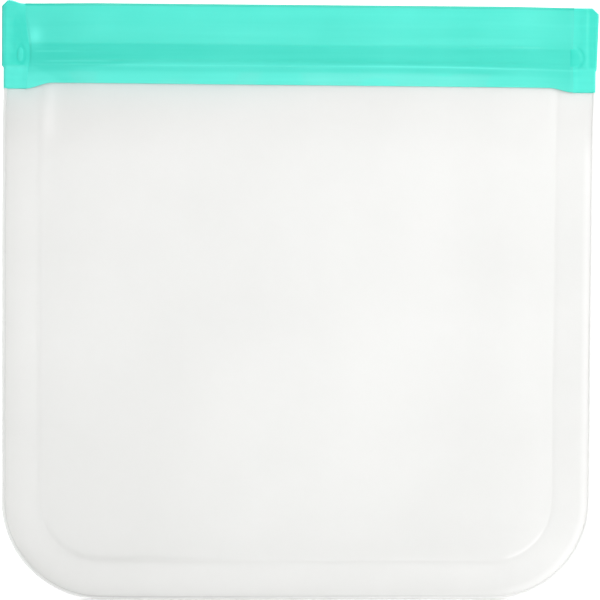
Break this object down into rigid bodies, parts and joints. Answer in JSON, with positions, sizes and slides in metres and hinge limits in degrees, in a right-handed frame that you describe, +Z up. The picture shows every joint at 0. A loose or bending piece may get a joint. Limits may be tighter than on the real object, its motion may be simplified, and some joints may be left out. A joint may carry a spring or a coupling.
{
  "type": "reusable zip bag",
  "caption": "Flat reusable food bag of frosted film, welded round a wide border, with a press-together zip under a coloured band along its mouth.",
  "frame": {"origin": "middle of the bag's bottom edge, half way between its two sheets of film", "axes": "+X to the bag's right, +Y to its back, +Z up from the bottom edge to the zip"},
  "size_m": [0.2032, 0.0066, 0.2036],
  "materials": {
    "film": "frosted, translucent",
    "weld": "frosted, pressed smooth",
    "band": "satin, translucent"
  },
  "bodies": {
    "seam": {"front_border": "film", "back_border": "film", "edge_bead": "weld", "weld_line": "weld", "left_end_weld": "band", "right_end_weld": "band", "left_track_stop": "band", "right_track_stop": "band"},
    "front": {"front_wall": "film", "front_band": "band", "male_track": "band"},
    "back": {"back_wall": "film", "back_band": "band", "female_track": "band"}
  },
  "joints": [
    {"name": "front_opens", "type": "hinge", "parent": "seam", "child": "front", "pos_m": [0, 0, 0.01335], "axis": [1, 0, 0], "range_deg": [0, 9]},
    {"name": "back_opens", "type": "hinge", "parent": "seam", "child": "back", "pos_m": [0, 0, 0.01335], "axis": [-1, 0, 0], "range_deg": [0, 9]}
  ]
}
